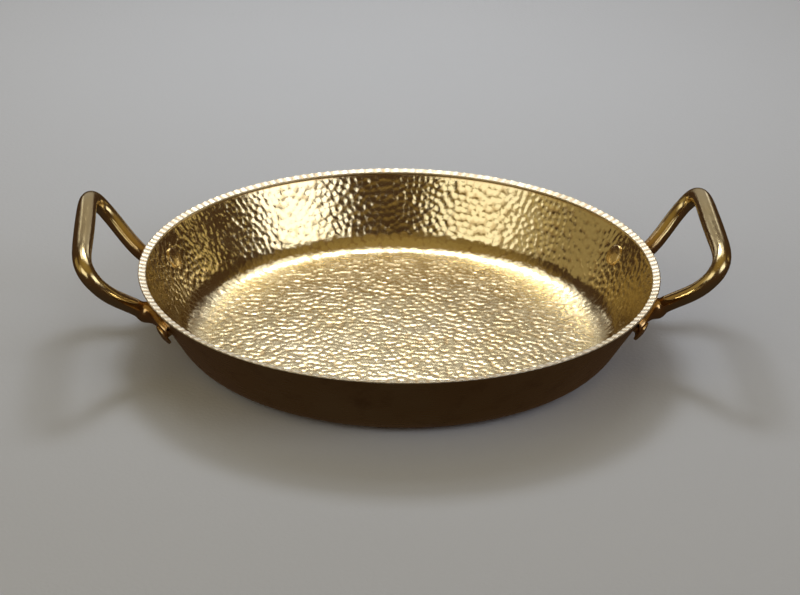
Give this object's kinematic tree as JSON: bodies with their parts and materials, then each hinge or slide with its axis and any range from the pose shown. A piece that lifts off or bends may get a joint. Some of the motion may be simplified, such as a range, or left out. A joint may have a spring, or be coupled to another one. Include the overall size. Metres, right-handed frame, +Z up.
{
  "type": "two-handled pan",
  "caption": "Round shallow brass pan with flaring hammered wall, ridged rim and riveted loop handles, for serving or cooking.",
  "frame": {"origin": "middle of the flat underside, on the surface that the pan stands on", "axes": "+Z up out of the open pan, X through both handles, -Y the front of the pictured view"},
  "size_m": [0.3218, 0.26, 0.0647],
  "materials": {
    "pan_brass": "satin outside, hammered and polished inside",
    "handle_brass": "polished cast brass",
    "rivet_brass": "satin"
  },
  "bodies": {
    "root": {"pan_body": "pan_brass", "handle_left": "handle_brass", "handle_right": "handle_brass", "rivet_left_front": "rivet_brass", "rivet_left_back": "rivet_brass", "rivet_right_front": "rivet_brass", "rivet_right_back": "rivet_brass"}
  },
  "joints": []
}
